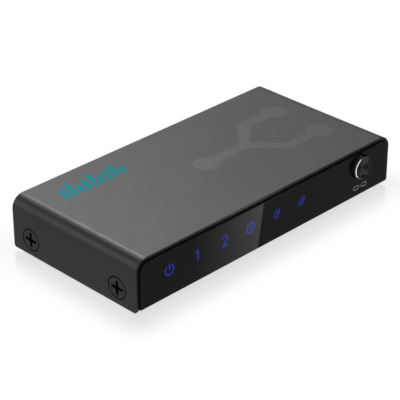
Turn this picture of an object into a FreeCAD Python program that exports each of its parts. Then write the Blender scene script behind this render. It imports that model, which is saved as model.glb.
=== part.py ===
import FreeCAD, Part
import os
import re
import Sketcher

# A slim metal box that copies one video signal to two screens.
# It lies on four rubber feet. The front panel, with a row of lit symbols and one push
# button, looks along -Y. The sockets are in the rear wall, which looks along +Y.
# The origin is on the surface that the feet stand on, under the middle of the object.
# All sizes are in millimetres.

doc = FreeCAD.newDocument("video_splitter")
sizes = doc.addObject("Spreadsheet::Sheet", "sizes")
places = doc.addObject("Spreadsheet::Sheet", "places")
SHEET_OF = {}


def enter(sheet, alias, content):
    """Write one value on the next row of a sheet and name its cell."""
    row = 1 + sum(1 for owner in SHEET_OF.values() if owner == sheet.Name)
    sheet.set("A%d" % row, alias)
    sheet.set("B%d" % row, content)
    sheet.setAlias("B%d" % row, alias)
    SHEET_OF[alias] = sheet.Name


def formula(text):
    """Turn a formula in plain size names into one that finds them on their sheets."""
    return re.sub(
        r"[a-z]\w*",
        lambda word: "%s.%s" % (SHEET_OF[word.group(0)], word.group(0)),
        text,
    )


def place(alias, text):
    """Name a level or a length that follows from the driving sizes."""
    enter(places, alias, "=" + formula(text))


SIZES = {
    # Cover
    "cover_width": 120,  # cover, left to right
    "cover_depth": 58,  # cover, front to back
    "cover_height": 18.4,  # cover, lower edge to top face
    "cover_gauge": 1,  # sheet thickness of the cover
    "bend_radius": 4.5,  # outside radius of the cover's two long bends
    "side_corner_radius": 1,  # rounding of the lower corners of the cover's sides
    "foot_gap": 1,  # surface to the cover's lower edge
    "side_clearance": 0.2,  # between the cover's inside and what it closes over

    # Tray
    "tray_gauge": 1,  # sheet thickness of the tray
    "tray_bend": 1.4,  # outside radius of the tray's bends
    "floor_recess": 0.6,  # tray floor above the cover's lower edge
    "wall_inset": 0.5,  # rear wall in from the cover's rear edge
    "ear_width": 9,  # upright ear that takes a cover screw
    "ear_top": 10.4,  # top of an ear above the cover's lower edge
    "nut_corner": 3.2,  # hexagonal nut clinched into an ear, axis to corner
    "nut_reach": 1.5,  # nut inside the ear

    # Cover screws
    "screw_inset": 8.6,  # cover screws in from the cover's front and rear edges
    "screw_level": 5.8,  # screw axis above the cover's lower edge
    "head_radius": 3.75,  # screw head at the cover's face
    "neck_radius": 2.2,  # screw head at the cover's inside
    "sink_clearance": 0.2,  # countersink around the head
    "shank_radius": 1.45,  # cover screw shank
    "screw_length": 4.1,  # head face to screw tip
    "thread_clearance": 0.05,  # between a shank and its tapped hole
    "cross_length": 5.2,  # cross recess, tip to tip
    "cross_width": 1.05,  # cross recess, width of an arm
    "cross_depth": 0.5,  # cross recess, depth of an arm
    "core_side": 1.7,  # square middle of the cross
    "core_depth": 1.2,  # depth of that middle

    # Feet
    "foot_width": 9,  # square rubber foot
    "foot_corner": 1.5,  # bevel of the foot's upright edges
    "foot_inset_x": 12,  # foot centre in from the cover's side
    "foot_inset_y": 9.5,  # foot centre in from the cover's front or rear edge
    "foot_edge": 0.3,  # bevel where the foot meets the surface

    # Front panel
    "panel_thickness": 2.4,  # front panel
    "panel_proud": 0.75,  # panel face in front of the cover's edge
    "panel_lift": 1,  # panel's lower edge above the cover's lower edge
    "panel_rounding": 0.25,  # rounding of the panel's front edges
    "window_skin": 1,  # panel thickness left in front of the lights

    # Symbols and their lights
    "icon_inset": 13.4,  # first symbol in from the cover's left side
    "icon_pitch": 12.2,  # symbol to symbol
    "icon_count": 6,  # number of symbols
    "icon_level": 10.5,  # symbol centres above the cover's lower edge
    "pipe_width": 3.8,  # light pipe, left to right
    "pipe_height": 4.4,  # light pipe, bottom to top
    "pipe_clearance": 0.15,  # around a pipe and around the baffle
    "baffle_margin": 2.3,  # baffle beyond its outer pipes
    "baffle_roof": 0.9,  # baffle above its pipes
    "baffle_depth": 6,  # baffle, front to back
    "pipe_leg": 2.4,  # downward leg of a pipe, front to back
    "runner_height": 1.2,  # bar that joins the pipes
    "led_length": 1.6,  # light chip, left to right
    "led_width": 0.8,  # light chip, front to back
    "led_height": 0.6,  # light chip above the board
    "led_gap": 0.3,  # light chip to pipe

    # Push button
    "button_inset": 16.05,  # button axis in from the cover's right side
    "button_drop": 5.05,  # button axis under the panel's upper edge
    "button_radius": 4.4,  # button cap
    "button_proud": 1.7,  # button face in front of the panel
    "button_clearance": 0.1,  # between the cap and its hole
    "ring_bevel": 0.5,  # bright bevel, both ways
    "ring_width": 0.15,  # flat of the bright ring inside its bevel
    "dish_depth": 0.25,  # hollow of the button's face
    "disc_thickness": 0.7,  # spun disc at its rim
    "lug_width": 13,  # button lugs, left to right
    "lug_height": 4,  # button lugs, bottom to top
    "lug_thickness": 1,  # button lugs, front to back
    "lug_play": 0.05,  # lugs to the back of the panel at rest
    "lug_room": 0.5,  # tray notch around the lugs and the cap
    "stem_width": 2.8,  # button's square stem
    "stem_length": 2.35,  # button stem behind the lugs

    # Push switch on the board
    "travel": 0.3,  # stroke of the push switch
    "plunger_radius": 1.75,  # switch plunger
    "plunger_reach": 1.6,  # plunger in front of the switch
    "plunger_root": 1.4,  # plunger inside the switch
    "plunger_clearance": 0.08,  # between the plunger and its hole
    "switch_width": 6.2,  # switch, left to right
    "switch_depth": 3.8,  # switch, front to back
    "switch_roof": 3.1,  # switch above its plunger's axis
    "bracket_gauge": 0.3,  # stamped bracket of the switch
    "bracket_foot": 1.2,  # bracket's feet on the board

    # Board
    "standoff_height": 3.2,  # board above the tray floor
    "standoff_corner": 2.7,  # hexagonal standoff, axis to corner
    "board_thickness": 1.6,  # main board
    "board_margin": 0.9,  # board to the tips of the cover screws
    "board_gap": 0.5,  # board to the tray's front flange and rear wall
    "post_inset": 4,  # standoff axis in from the board's side
    "post_front": 6.5,  # front standoffs behind the board's front edge
    "post_rear": 24,  # rear standoffs before the board's rear edge
    "post_neck": 1.3,  # neck in the board, axis to corner
    "post_head": 2.3,  # head on the board, axis to corner
    "post_cap": 1.3,  # head above the board
    "neck_clearance": 0.1,  # board's holes around the necks

    # Video sockets
    "input_inset": 41,  # input socket in from the cover's right side
    "socket_pitch": 27,  # socket to socket
    "mouth_width": 14,  # socket mouth, widest
    "mouth_foot": 10.2,  # socket mouth, width of its lower side
    "mouth_height": 4.55,  # socket mouth, height
    "mouth_straight": 2.2,  # straight part of the mouth's sides
    "shell_gauge": 0.35,  # socket's folded shell
    "shell_depth": 11.5,  # socket, front to back
    "lip_flare": 0.5,  # flared lip around the shell's mouth
    "lip_depth": 0.4,  # lip, front to back
    "nose_reach": 0.9,  # sockets behind the rear wall
    "socket_clearance": 0.25,  # rear wall around the lips
    "spring_side": 3,  # shell spring beside the socket's middle
    "spring_width": 1.8,  # shell spring, left to right
    "spring_length": 4,  # shell spring, front to back
    "spring_slot": 0.4,  # slit around a shell spring
    "spring_start": 2.2,  # slit of the spring from the mouth
    "base_depth": 3,  # moulded base at the back of the shell
    "base_clearance": 0.05,  # between the base and the shell
    "tongue_width": 11.2,  # socket tongue, left to right
    "tongue_thickness": 1.3,  # socket tongue
    "tongue_setback": 1.3,  # tongue tip behind the mouth
    "contact_width": 0.35,  # contact strip
    "contact_gauge": 0.15,  # contact strip's thickness
    "contact_pitch": 1,  # contact to contact in one row
    "contact_setback": 0.8,  # contact tips behind the tongue's tip
    "upper_contacts": 10,  # contacts above the tongue
    "lower_contacts": 9,  # contacts under the tongue
    "upper_tail": 1.4,  # upper contacts' legs behind the base
    "lower_tail": 0.5,  # lower contacts' legs behind the base
    "contact_foot": 0.9,  # contact's foot on the board

    # Power jack
    "jack_inset": 15,  # power jack in from the cover's right side
    "jack_width": 9,  # jack housing, left to right
    "jack_height": 8,  # jack housing above the board
    "jack_depth": 11.5,  # jack housing, front to back
    "jack_gap": 0.15,  # jack housing to the rear wall
    "jack_wall": 0.8,  # wall of the jack's nose
    "jack_bore": 3,  # radius of the jack's bore
    "jack_bore_depth": 9.5,  # depth of the jack's bore
    "pin_radius": 1,  # centre pin of the jack
    "pin_setback": 1,  # pin's tip behind the nose
    "pin_root": 2,  # pin's length in the housing
    "leaf_width": 2,  # jack's spring leaf
    "leaf_thickness": 0.3,  # spring leaf's thickness
    "leaf_length": 8,  # spring leaf, front to back
    "leaf_sink": 0.5,  # groove under the spring leaf
    "leaf_clearance": 0.1,  # groove around the spring leaf

    # Parts on the board
    "chip_shift": 4,  # splitter chip right of the middle socket
    "chip_width": 12,  # splitter chip
    "chip_height": 1,  # splitter chip above the board
    "pad_inset": 0.5,  # thermal pad in from the chip's edge
    "pad_thickness": 0.5,  # thermal pad
    "sink_width": 16,  # heat sink
    "sink_gap": 0.5,  # heat sink to the memory chips' leads
    "sink_base": 1.2,  # heat sink's base plate
    "fin_height": 4.2,  # heat sink's fins
    "fin_thickness": 0.9,  # one fin
    "fin_count": 7,  # number of fins
    "regulator_inset": 24,  # regulator in from the cover's right side
    "regulator_gap": 2.8,  # regulator's tab to the jack
    "regulator_width": 6.5,  # regulator, left to right
    "regulator_depth": 3.5,  # regulator, front to back
    "regulator_height": 1.7,  # regulator above the board
    "lead_width": 0.8,  # regulator's leads
    "lead_pitch": 2.3,  # regulator lead to lead
    "lead_reach": 1.7,  # leads in front of the regulator
    "lead_thickness": 0.3,  # leads on the board
    "tab_width": 3,  # regulator's cooling tab
    "coil_width": 6,  # power coil
    "coil_height": 3,  # power coil above the board
    "coil_corner": 1.3,  # power coil's cut corners
    "can_gap": 0.6,  # capacitors to the regulator's leads
    "can_radius": 2.4,  # capacitor can
    "can_height": 5.4,  # capacitor can above its base
    "can_base": 0.9,  # capacitor's base plate
    "can_base_width": 5.2,  # capacitor's base plate, each way
    "can_pitch": 7,  # capacitor to capacitor
    "crystal_gap": 5,  # crystal to the splitter chip
    "crystal_width": 4.6,  # crystal can, left to right
    "crystal_length": 11,  # crystal can, front to back
    "crystal_height": 3.4,  # crystal can above the board
    "crystal_corner": 1.4,  # bevelled ends of the crystal can
    "memory_width": 5,  # memory chip, left to right
    "memory_depth": 4,  # memory chip, front to back
    "memory_height": 1.5,  # memory chip above the board
    "memory_gap": 3,  # memory chip in front of its socket's legs
    "memory_legs": 4,  # leads on each side of a memory chip
    "memory_leg_width": 0.4,  # memory chip's lead
    "memory_leg_pitch": 1.27,  # memory chip lead to lead
    "memory_leg_reach": 1,  # memory chip's leads beside it
}

for alias, number in SIZES.items():
    enter(sizes, alias, str(number))

# Levels above the surface
place("floor_under", "foot_gap + floor_recess")  # underside of the tray floor
place("floor_top", "floor_under + tray_gauge")  # top of the tray floor
place("board_under", "floor_top + standoff_height")  # underside of the board
place("board_top", "board_under + board_thickness")  # top of the board
place("lid_under", "foot_gap + cover_height - cover_gauge")  # inside of the cover's top
place("wall_top", "lid_under - side_clearance")  # top of the panel and of the tray's walls
place("icon_axis", "foot_gap + icon_level")  # centres of the symbols
place("button_axis", "wall_top - button_drop")  # axis of the button
place("screw_axis", "foot_gap + screw_level")  # axes of the cover screws

# Places from front to back
place("nose_proud", "nose_reach - wall_inset")  # sockets behind the cover's rear edge
place("object_depth", "cover_depth + panel_proud + button_proud + nose_proud")  # front to back
place("cover_front", "panel_proud + button_proud - object_depth / 2")  # cover's front edge
place("cover_back", "cover_front + cover_depth")  # cover's rear edge
place("cover_middle", "(cover_front + cover_back) / 2")  # middle of the cover
place("screw_spacing", "cover_depth - 2 * screw_inset")  # between the two screws of one side
place("panel_face", "cover_front - panel_proud")  # front of the panel
place("panel_back", "panel_face + panel_thickness")  # back of the panel and front of the tray
place("wall_face", "cover_back - wall_inset")  # outside of the rear wall
place("wall_inside", "wall_face - tray_gauge")  # inside of the rear wall
place("nose_face", "wall_face + nose_reach")  # mouths of the sockets
place("board_front", "panel_back + tray_gauge + board_gap")  # board's front edge
place("board_back", "wall_inside - board_gap")  # board's rear edge
place("lug_face", "panel_back + lug_play")  # front of the button's lugs
place("stem_end", "lug_face + lug_thickness + stem_length")  # button stem meets the plunger
place("switch_face", "stem_end + plunger_reach")  # front of the push switch
place("baffle_face", "panel_face + window_skin + pipe_clearance")  # front of baffle and pipes
place("baffle_back", "baffle_face + baffle_depth")  # back of the baffle
place("leg_front", "baffle_back + pipe_clearance")  # front of the pipes' legs
place("leg_back", "leg_front + pipe_leg")  # back of the pipes' legs
place("shell_back", "nose_face - shell_depth")  # back of a socket's shell
place("leg_end", "shell_back - upper_tail - contact_foot")  # front ends of the contacts
place("memory_line", "leg_end - memory_gap - memory_depth / 2")  # middles of the memory chips
place("memory_edge", "memory_line - memory_depth / 2 - memory_leg_reach")  # their leads' ends
place("chip_line", "memory_edge - sink_gap - sink_width / 2")  # middle of the splitter chip
place("jack_back", "wall_inside - jack_gap - jack_depth")  # back of the power jack
place("regulator_line", "jack_back - regulator_gap - lead_reach - regulator_depth / 2")
place("lead_end", "regulator_line - regulator_depth / 2 - lead_reach")  # regulator's lead ends
place("can_line", "lead_end - can_gap - can_base_width / 2")  # first capacitor and the coil

# Places from side to side
place("inner_half", "cover_width / 2 - cover_gauge - side_clearance")  # half of panel and tray
place("board_half", "cover_width / 2 - screw_length - board_margin")  # half of the board
place("inner_corner", "bend_radius - cover_gauge")  # inside radius, kept by what it covers
place("icon_x", "icon_inset - cover_width / 2")  # first symbol
place("button_x", "cover_width / 2 - button_inset")  # button and push switch
place("input_x", "cover_width / 2 - input_inset")  # input socket
place("jack_x", "cover_width / 2 - jack_inset")  # power jack and coil
place("regulator_x", "cover_width / 2 - regulator_inset")  # regulator and capacitors
place("chip_x", "input_x - socket_pitch + chip_shift")  # splitter chip
place("crystal_x", "chip_x + chip_width / 2 + crystal_gap + crystal_width / 2")  # crystal

# Lights behind the panel
place("icon_span", "icon_pitch * (icon_count - 1)")  # first symbol to last
place("icon_middle", "icon_x + icon_span / 2")  # middle of the row
place("baffle_width", "icon_span + pipe_width + 2 * baffle_margin")  # baffle, left to right
place("baffle_top", "icon_axis + pipe_height / 2 + baffle_roof")  # top of the baffle

# Power jack
place("jack_nose", "jack_bore + jack_wall")  # radius of the jack's nose

doc.recompute()

ALONG_X = FreeCAD.Rotation(FreeCAD.Vector(0, 1, 0), 90)
ALONG_Y = FreeCAD.Rotation(FreeCAD.Vector(1, 0, 0), -90)
LEFTWARDS = FreeCAD.Rotation(FreeCAD.Vector(0, 1, 0), -90)
NEAR = 0.01
nodes = []


def value(text):
    """Work out a formula now."""
    return float(places.evalExpression(formula(text)))


def bind(thing, **formulas):
    """Tie properties of an object to formulas."""
    for name, text in formulas.items():
        thing.setExpression(name, formula(text))


def put(thing, x="0", y="0", z="0", turn=None):
    """Turn an object, then tie its place to formulas."""
    if turn is not None:
        thing.Placement = FreeCAD.Placement(FreeCAD.Vector(), turn)
    for axis, text in (("x", x), ("y", y), ("z", z)):
        thing.setExpression("Placement.Base." + axis, formula(text))


def keep(thing, label):
    """Count an object as a sub-part, under the name of its file."""
    thing.Label = label
    nodes.append(thing)
    return thing


def new_body(label):
    """Start a sub-part that is built up feature by feature."""
    return keep(doc.addObject("PartDesign::Body", label + "_body"), label)


def origin_item(body, role):
    """Find one of a body's own origin planes or axes."""
    return [item for item in body.Origin.OriginFeatures if item.Role == role][0]


def sketch(body, role, corners, name, lift="0"):
    """Draw a closed outline whose corners are tied to their distances from the origin."""
    drawing = body.newObject("Sketcher::SketchObject", name)
    drawing.AttachmentSupport = (origin_item(body, role), [""])
    drawing.MapMode = "FlatFace"
    drawing.setExpression("AttachmentOffset.Base.z", formula(lift))
    points = [FreeCAD.Vector(value(across), value(up), 0) for across, up in corners]
    count = len(points)
    for index in range(count):
        drawing.addGeometry(Part.LineSegment(points[index], points[(index + 1) % count]))
    for index in range(count):
        after = (index + 1) % count
        drawing.addConstraint(Sketcher.Constraint("Coincident", index, 2, after, 1))
    for index, texts in enumerate(corners):
        for kind, text, axis in (("DistanceX", texts[0], -2), ("DistanceY", texts[1], -1)):
            if text == "0":
                drawing.addConstraint(Sketcher.Constraint("PointOnObject", index, 1, axis))
            else:
                rule = Sketcher.Constraint(kind, -1, 1, index, 1, value(text))
                number = drawing.addConstraint(rule)
                drawing.setExpression("Constraints[%d]" % number, formula(text))
    return drawing


def pad(body, drawing, length, name, both_ways=False):
    """Give an outline its thickness."""
    feature = body.newObject("PartDesign::Pad", name)
    feature.Profile = drawing
    feature.Midplane = both_ways
    bind(feature, Length=length)
    doc.recompute()
    return feature


def pocket(body, drawing, length, name):
    """Cut an outline out of a body, half the length each way."""
    feature = body.newObject("PartDesign::Pocket", name)
    feature.Profile = drawing
    feature.Midplane = True
    bind(feature, Length=length)
    doc.recompute()
    return feature


def block(body, kind, name, width, depth, height, x="0", y="0", z="0"):
    """Add or subtract a box that is centred on x and starts at y and z."""
    feature = body.newObject("PartDesign::%sBox" % kind, name)
    bind(feature, Length=width, Width=depth, Height=height)
    put(feature, "%s - (%s) / 2" % (x, width), y, z)
    doc.recompute()
    return feature


def round_bar(body, kind, name, radius, length, x="0", y="0", z="0", turn=None):
    """Add or subtract a cylinder that starts at a point."""
    feature = body.newObject("PartDesign::%sCylinder" % kind, name)
    bind(feature, Radius=radius, Height=length)
    put(feature, x, y, z, turn)
    doc.recompute()
    return feature


def hexagon_bar(body, kind, name, corner, length, x="0", y="0", z="0", turn=None):
    """Add or subtract a six-sided bar that starts at a point."""
    feature = body.newObject("PartDesign::%sPrism" % kind, name)
    feature.Polygon = 6
    bind(feature, Circumradius=corner, Height=length)
    put(feature, x, y, z, turn)
    doc.recompute()
    return feature


def round_taper(body, kind, name, start, end, length, x="0", y="0", z="0", turn=None):
    """Add or subtract a cone that starts at a point."""
    feature = body.newObject("PartDesign::%sCone" % kind, name)
    bind(feature, Radius1=start, Radius2=end, Height=length)
    put(feature, x, y, z, turn)
    doc.recompute()
    return feature


def row(body, features, axis, length, count, name, backwards=False):
    """Repeat features along one of the body's axes."""
    pattern = body.newObject("PartDesign::LinearPattern", name)
    pattern.Originals = features
    pattern.Direction = (origin_item(body, axis), [""])
    pattern.Reversed = backwards
    bind(pattern, Length=length, Occurrences=count)
    body.Tip = pattern
    doc.recompute()
    return pattern


def edges(feature, along=None, **where):
    """Name a shape's edges that run along an axis and whose middles lie on given values."""
    found = []
    for number, edge in enumerate(feature.Shape.Edges, 1):
        box = edge.BoundBox
        spans = {"x": box.XLength, "y": box.YLength, "z": box.ZLength}
        if along and any(spans[axis] > NEAR for axis in spans if axis != along):
            continue
        middle = {"x": box.Center.x, "y": box.Center.y, "z": box.Center.z}
        if all(min(abs(middle[axis] - value(text)) for text in texts) < NEAR
               for axis, texts in where.items()):
            found.append("Edge%d" % number)
    return found


def dress(body, kind, name, base, names, radius):
    """Round or bevel edges of a feature."""
    feature = body.newObject("PartDesign::" + kind, name)
    feature.Base = (base, names)
    bind(feature, **{"Radius" if kind == "Fillet" else "Size": radius})
    doc.recompute()
    return feature


# Cover: one sheet bent down along its two long sides

def make_cover():
    """The upside-down U with countersunk holes for the four screws."""
    body = new_body("top_cover")
    half = "cover_width / 2"
    inner = "(cover_width / 2 - cover_gauge)"
    under = "cover_height - cover_gauge"
    outline = [
        ("-" + half, "0"), ("-" + half, "cover_height"),
        (half, "cover_height"), (half, "0"),
        (inner, "0"), (inner, under), ("-" + inner, under), ("-" + inner, "0"),
    ]
    folded = pad(body, sketch(body, "XZ_Plane", outline, "cover_profile"), "cover_depth", "fold")
    outer = edges(folded, "y", x=[half, "-" + half], z=["cover_height"])
    bend = dress(body, "Fillet", "outer_bends", folded, outer, "bend_radius")
    inside = edges(bend, "y", x=[inner, "-" + inner], z=[under])
    bend = dress(body, "Fillet", "inner_bends", bend, inside, "bend_radius - cover_gauge")
    corners = edges(bend, "x", y=["0", "-cover_depth"], z=["0"])
    dress(body, "Fillet", "side_corners", bend, corners, "side_corner_radius")
    put(body, "0", "cover_back", "foot_gap")
    for side, sign, turn in (("left", "-", ALONG_X), ("right", "", LEFTWARDS)):
        for end, shift in (("front", "-"), ("rear", "+")):
            round_taper(
                body, "Subtractive", "sink_%s_%s" % (side, end),
                "head_radius + sink_clearance", "neck_radius + sink_clearance", "cover_gauge",
                sign + "cover_width / 2",
                "-cover_depth / 2 %s screw_spacing / 2" % shift, "screw_level", turn,
            )
    return body


def make_cover_screw(side, end):
    """A flat-head screw with a cross recess, its head flush with the cover's side."""
    body = new_body("cover_screw_%s_%s" % (side, end))
    round_taper(body, "Additive", "head", "neck_radius", "head_radius", "cover_gauge",
                z="-cover_gauge")
    round_bar(body, "Additive", "shank", "shank_radius", "screw_length - cover_gauge",
              z="-screw_length")
    block(body, "Subtractive", "cross_arm", "cross_length", "cross_width", "cross_depth",
          y="-cross_width / 2", z="-cross_depth")
    block(body, "Subtractive", "other_arm", "cross_width", "cross_length", "cross_depth",
          y="-cross_length / 2", z="-cross_depth")
    block(body, "Subtractive", "cross_core", "core_side", "core_side", "core_depth",
          y="-core_side / 2", z="-core_depth")
    sign = "-" if side == "left" else ""
    shift = "-" if end == "front" else "+"
    put(body, sign + "cover_width / 2", "cover_middle %s screw_spacing / 2" % shift,
        "screw_axis", LEFTWARDS if side == "left" else ALONG_X)


# Tray: floor, front flange and rear wall from one sheet, with four ears

def shell_outline(grow):
    """The socket's outline, wider above and with slanted lower corners, grown on all sides."""
    top = "(mouth_width / 2 + shell_gauge + %s)" % grow
    foot = "(mouth_foot / 2 + shell_gauge + %s)" % grow
    roof = "mouth_height + 2 * shell_gauge + " + grow
    knee = "mouth_height + shell_gauge - mouth_straight"
    floor = "-(%s)" % grow
    return [
        ("-" + top, roof), (top, roof), (top, knee),
        (foot, floor), ("-" + foot, floor), ("-" + top, knee),
    ]


def moved(outline, x, z):
    """Shift an outline by two formulas."""
    return [("%s + %s" % (x, across), "%s + %s" % (z, up)) for across, up in outline]


def socket_side(index):
    """How far right of the middle a socket stands."""
    return "input_x - %d * socket_pitch" % index


def make_tray():
    """The folded tray that carries the board, the panel, the feet and the cover."""
    body = new_body("base_chassis")
    outline = [
        ("panel_back", "floor_under"), ("wall_face", "floor_under"),
        ("wall_face", "wall_top"), ("wall_inside", "wall_top"),
        ("wall_inside", "floor_top"), ("panel_back + tray_gauge", "floor_top"),
        ("panel_back + tray_gauge", "wall_top"), ("panel_back", "wall_top"),
    ]
    folded = pad(body, sketch(body, "YZ_Plane", outline, "tray_profile"),
                 "2 * inner_half", "fold", both_ways=True)
    outer = edges(folded, "x", y=["panel_back", "wall_face"], z=["floor_under"])
    bend = dress(body, "Fillet", "outer_bends", folded, outer, "tray_bend")
    inside = edges(bend, "x", y=["panel_back + tray_gauge", "wall_inside"], z=["floor_top"])
    bend = dress(body, "Fillet", "inner_bends", bend, inside, "tray_bend - tray_gauge")
    corners = edges(bend, "y", x=["inner_half", "-inner_half"], z=["wall_top"])
    dress(body, "Fillet", "wall_corners", bend, corners, "inner_corner")

    for side, sign, turn in (("left", "-", ALONG_X), ("right", "", LEFTWARDS)):
        for end, shift in (("front", "-"), ("rear", "+")):
            name = "%s_%s" % (side, end)
            axis_y = "cover_middle %s screw_spacing / 2" % shift
            block(body, "Additive", "ear_" + name, "tray_gauge", "ear_width",
                  "foot_gap + ear_top - floor_under",
                  "%s(inner_half - tray_gauge / 2)" % sign, axis_y + " - ear_width / 2",
                  "floor_under")
            hexagon_bar(body, "Additive", "nut_" + name, "nut_corner", "tray_gauge + nut_reach",
                        sign + "inner_half", axis_y, "screw_axis", turn)
            round_bar(body, "Subtractive", "tapped_" + name, "shank_radius + thread_clearance",
                      "tray_gauge + nut_reach", sign + "inner_half", axis_y,
                      "screw_axis", turn)

    block(body, "Subtractive", "light_slot", "baffle_width + 2 * pipe_clearance", "tray_gauge",
          "baffle_top + pipe_clearance - board_top", "icon_middle", "panel_back", "board_top")
    block(body, "Subtractive", "button_notch", "lug_width + 2 * lug_room", "tray_gauge",
          "wall_top - button_axis + button_radius + lug_room", "button_x", "panel_back",
          "button_axis - button_radius - lug_room")
    for index in range(3):
        hole = moved(shell_outline("lip_flare + socket_clearance"), socket_side(index), "board_top")
        drawing = sketch(body, "XZ_Plane", hole, "socket_hole_%d" % index,
                         "tray_gauge / 2 - wall_face")
        pocket(body, drawing, "2 * tray_gauge", "socket_cut_%d" % index)
    round_bar(body, "Subtractive", "jack_hole", "jack_nose + socket_clearance", "tray_gauge",
              "jack_x", "wall_inside", "board_top + jack_height / 2", ALONG_Y)
    return body


def make_foot(side, end):
    """A square rubber foot stuck under the tray, with bevelled corners and lower edges."""
    body = new_body("foot_%s_%s" % (end, side))
    stud = block(body, "Additive", "stud", "foot_width", "foot_width", "floor_under",
                 y="-foot_width / 2")
    stud = dress(body, "Chamfer", "corners", stud, edges(stud, "z"), "foot_corner")
    rim = edges(stud, None, z=["0"])
    dress(body, "Chamfer", "lower_edge", stud, rim, "foot_edge")
    sign = "-" if side == "left" else ""
    line = "cover_front + foot_inset_y" if end == "front" else "cover_back - foot_inset_y"
    put(body, "%s(cover_width / 2 - foot_inset_x)" % sign, line)


# Front: panel, lights and push button

def make_panel():
    """The glossy panel: rounded upper corners, a button hole and a thinner stretch for lights."""
    body = new_body("front_panel")
    low = "foot_gap + panel_lift"
    outline = [("-inner_half", low), ("inner_half", low),
               ("inner_half", "wall_top"), ("-inner_half", "wall_top")]
    plate = pad(body, sketch(body, "XZ_Plane", outline, "panel_outline"),
                "panel_thickness", "plate")
    corners = edges(plate, "y", x=["inner_half", "-inner_half"], z=["wall_top"])
    plate = dress(body, "Fillet", "upper_corners", plate, corners, "inner_corner")
    front = edges(plate, None, y=["-panel_thickness"])
    dress(body, "Fillet", "front_edge", plate, front, "panel_rounding")
    put(body, y="panel_back")
    round_bar(body, "Subtractive", "button_hole", "button_radius + button_clearance",
              "panel_thickness", "button_x", "-panel_thickness", "button_axis", ALONG_Y)
    block(body, "Subtractive", "light_recess", "baffle_width + 2 * pipe_clearance",
          "panel_thickness - window_skin", "baffle_top + 2 * pipe_clearance - board_top",
          "icon_middle", "window_skin - panel_thickness", "board_top - pipe_clearance")


def make_baffle():
    """The black bar with one tunnel for each light, standing on the board's front edge."""
    body = new_body("light_baffle")
    block(body, "Additive", "bar", "baffle_width", "baffle_depth", "baffle_top - board_top",
          "icon_span / 2", z="board_top")
    tunnel = block(body, "Subtractive", "tunnel", "pipe_width + 2 * pipe_clearance",
                   "baffle_depth", "pipe_height + 2 * pipe_clearance",
                   z="icon_axis - pipe_height / 2 - pipe_clearance")
    row(body, [tunnel], "X_Axis", "icon_span", "icon_count", "tunnels")
    put(body, "icon_x", "baffle_face")


def make_light_guide():
    """Six clear pipes that take the light up from the board and forward to the panel."""
    body = new_body("light_guide")
    top = "icon_axis + pipe_height / 2"
    bottom = "icon_axis - pipe_height / 2"
    foot = "board_top + led_height + led_gap"
    outline = [
        ("baffle_face", bottom), ("leg_front", bottom), ("leg_front", foot),
        ("leg_back", foot), ("leg_back", top + " - pipe_leg"),
        ("leg_front", top), ("baffle_face", top),
    ]
    pipe = pad(body, sketch(body, "YZ_Plane", outline, "pipe_profile"), "pipe_width", "pipe",
               both_ways=True)
    row(body, [pipe], "X_Axis", "icon_span", "icon_count", "pipes")
    block(body, "Additive", "runner", "icon_span", "pipe_leg / 2", "runner_height",
          "icon_span / 2", "leg_front", "icon_axis - runner_height / 2")
    put(body, "icon_x")


def make_lights():
    """One light chip under the leg of each pipe."""
    body = new_body("status_leds")
    chip = block(body, "Additive", "chip", "led_length", "led_width", "led_height",
                 y="-led_width / 2")
    row(body, [chip], "X_Axis", "icon_span", "icon_count", "chips")
    put(body, "icon_x", "(leg_front + leg_back) / 2", "board_top")


def turned(body, outline, name):
    """Spin an outline of radius and depth about the body's Y axis."""
    feature = body.newObject("PartDesign::Revolution", name)
    feature.Profile = sketch(body, "XY_Plane", outline, name + "_profile")
    feature.ReferenceAxis = (origin_item(body, "Y_Axis"), [""])
    feature.Angle = 360
    doc.recompute()
    return feature


def make_button():
    """The round button: a black cap with lugs and stem, a bright bevelled ring, a spun disc."""
    face = "-(panel_back - panel_face + button_proud)"
    shoulder = face + " + ring_bevel"
    seat = shoulder + " + disc_thickness"
    pocket_radius = "button_radius - ring_bevel - ring_width"

    cap = new_body("button_cap")
    outline = [
        ("0", "lug_play"), ("button_radius", "lug_play"), ("button_radius", shoulder),
        (pocket_radius, shoulder), (pocket_radius, seat), ("0", seat),
    ]
    turned(cap, outline, "barrel")
    block(cap, "Additive", "lugs", "lug_width", "lug_thickness", "lug_height",
          y="lug_play", z="-lug_height / 2")
    block(cap, "Additive", "stem", "stem_width", "stem_length", "stem_width",
          y="lug_play + lug_thickness", z="-stem_width / 2")
    put(cap, "button_x", "panel_back", "button_axis")

    ring = new_body("button_ring")
    outline = [
        (pocket_radius, shoulder), ("button_radius", shoulder),
        ("button_radius - ring_bevel", face), (pocket_radius, face),
    ]
    turned(ring, outline, "bevel")
    put(ring, "button_x", "panel_back", "button_axis")

    disc = new_body("button_face")
    outline = [
        ("0", seat), (pocket_radius, seat), (pocket_radius, shoulder),
        ("0", shoulder + " + dish_depth"),
    ]
    turned(disc, outline, "dish")
    put(disc, "button_x", "panel_back", "button_axis")


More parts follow.
